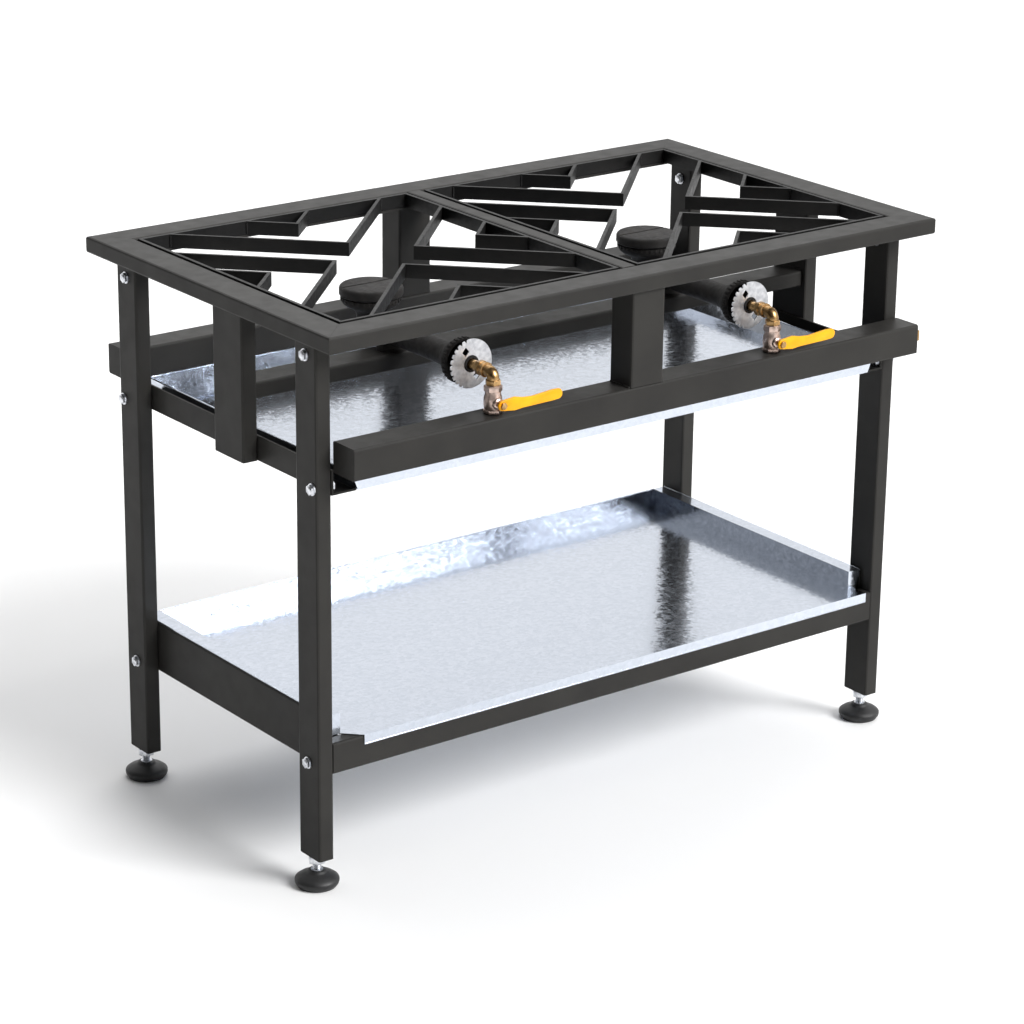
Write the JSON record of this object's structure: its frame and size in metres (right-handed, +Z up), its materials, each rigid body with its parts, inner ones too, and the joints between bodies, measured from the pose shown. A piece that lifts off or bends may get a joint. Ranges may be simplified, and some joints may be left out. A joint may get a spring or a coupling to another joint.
{
  "type": "gas burner stand",
  "caption": "Steel-framed gas boiling stand with V-bar pot grates, cast burners, lever gas valves, a drip tray and a lower shelf on levelling feet.",
  "frame": {"origin": "on the floor under the middle of the frame", "axes": "+Z up, +X along the gas manifold to the inlet end, -Y towards the controls"},
  "size_m": [1.0864, 0.62, 0.82],
  "materials": {
    "black_powder_coat": "satin black powder coat",
    "galvanised_steel": "galvanised sheet with a fine spangle",
    "cast_iron": "raw dark cast iron",
    "brass": "plain machined brass",
    "nickel_plate": "nickel-plated brass",
    "zinc_plate": "bright zinc plate",
    "yellow_vinyl": "yellow dipped plastic",
    "black_nylon": "moulded black nylon"
  },
  "bodies": {
    "frame": {"top_rail_front": "black_powder_coat", "top_rail_right": "black_powder_coat", "top_rail_back": "black_powder_coat", "top_rail_left": "black_powder_coat", "top_centre_bar": "black_powder_coat", "leg_front_left": "black_powder_coat", "leg_front_right": "black_powder_coat", "leg_back_left": "black_powder_coat", "leg_back_right": "black_powder_coat", "manifold_rail": "black_powder_coat", "rear_rail": "black_powder_coat", "gas_inlet_socket": "brass", "middle_post_left": "black_powder_coat", "middle_post_right": "black_powder_coat", "middle_post_front": "black_powder_coat", "middle_post_back": "black_powder_coat", "tray_runner_left": "black_powder_coat", "tray_runner_right": "black_powder_coat", "lower_rail_front": "black_powder_coat", "lower_rail_back": "black_powder_coat", "lower_rail_left": "black_powder_coat", "lower_rail_right": "black_powder_coat", "burner_bar": "black_powder_coat", "grate_rest_front_left": "black_powder_coat", "grate_rest_front_right": "black_powder_coat", "grate_rest_back_left": "black_powder_coat", "grate_rest_back_right": "black_powder_coat", "burner_body_left": "cast_iron", "burner_cap_left": "cast_iron", "injector_elbow_left": "brass", "valve_body_left": "nickel_plate", "burner_body_right": "cast_iron", "burner_cap_right": "cast_iron", "injector_elbow_right": "brass", "valve_body_right": "nickel_plate"},
    "valve_handle_left": {"valve_stem_left": "zinc_plate", "valve_lever_left": "yellow_vinyl"},
    "air_shutter_left": {"air_shutter_left": "zinc_plate"},
    "grate_left": {"grate_left_back": "black_powder_coat", "grate_left_front": "black_powder_coat", "grate_left_left_side": "black_powder_coat", "grate_left_right_side": "black_powder_coat"},
    "valve_handle_right": {"valve_stem_right": "zinc_plate", "valve_lever_right": "yellow_vinyl"},
    "air_shutter_right": {"air_shutter_right": "zinc_plate"},
    "grate_right": {"grate_right_back": "black_powder_coat", "grate_right_front": "black_powder_coat", "grate_right_left_side": "black_powder_coat", "grate_right_right_side": "black_powder_coat"},
    "drip_tray": {"drip_tray": "galvanised_steel"},
    "lower_shelf": {"lower_shelf": "galvanised_steel"},
    "foot_front_left": {"foot_pad_front_left": "black_nylon", "foot_stem_front_left": "zinc_plate"},
    "foot_front_right": {"foot_pad_front_right": "black_nylon", "foot_stem_front_right": "zinc_plate"},
    "foot_back_left": {"foot_pad_back_left": "black_nylon", "foot_stem_back_left": "zinc_plate"},
    "foot_back_right": {"foot_pad_back_right": "black_nylon", "foot_stem_back_right": "zinc_plate"}
  },
  "joints": [
    {"name": "valve_left_turn", "type": "hinge", "parent": "frame", "child": "valve_handle_left", "pos_m": [-0.252, -0.28, 0.6735], "axis": [0, -1, 0], "range_deg": [0, 90]},
    {"name": "air_shutter_left_turn", "type": "hinge", "parent": "frame", "child": "air_shutter_left", "pos_m": [-0.252, -0.2285, 0.715], "axis": [0, -1, 0], "continuous": true},
    {"name": "grate_left_lift", "type": "slide", "parent": "frame", "child": "grate_left", "axis": [0, 0, 1], "range_m": [0, 0.15]},
    {"name": "valve_right_turn", "type": "hinge", "parent": "frame", "child": "valve_handle_right", "pos_m": [0.252, -0.28, 0.6735], "axis": [0, -1, 0], "range_deg": [0, 90]},
    {"name": "air_shutter_right_turn", "type": "hinge", "parent": "frame", "child": "air_shutter_right", "pos_m": [0.252, -0.2285, 0.715], "axis": [0, -1, 0], "continuous": true},
    {"name": "grate_right_lift", "type": "slide", "parent": "frame", "child": "grate_right", "axis": [0, 0, 1], "range_m": [0, 0.15]},
    {"name": "drip_tray_pull", "type": "slide", "parent": "frame", "child": "drip_tray", "axis": [0, -1, 0], "range_m": [0, 0.45]},
    {"name": "shelf_lift", "type": "slide", "parent": "frame", "child": "lower_shelf", "axis": [0, 0, 1], "range_m": [0, 0.2]},
    {"name": "foot_front_left_screw", "type": "slide", "parent": "frame", "child": "foot_front_left", "axis": [0, 0, 1], "range_m": [-0.02, 0]},
    {"name": "foot_front_right_screw", "type": "slide", "parent": "frame", "child": "foot_front_right", "axis": [0, 0, 1], "range_m": [-0.02, 0]},
    {"name": "foot_back_left_screw", "type": "slide", "parent": "frame", "child": "foot_back_left", "axis": [0, 0, 1], "range_m": [-0.02, 0]},
    {"name": "foot_back_right_screw", "type": "slide", "parent": "frame", "child": "foot_back_right", "axis": [0, 0, 1], "range_m": [-0.02, 0]}
  ]
}
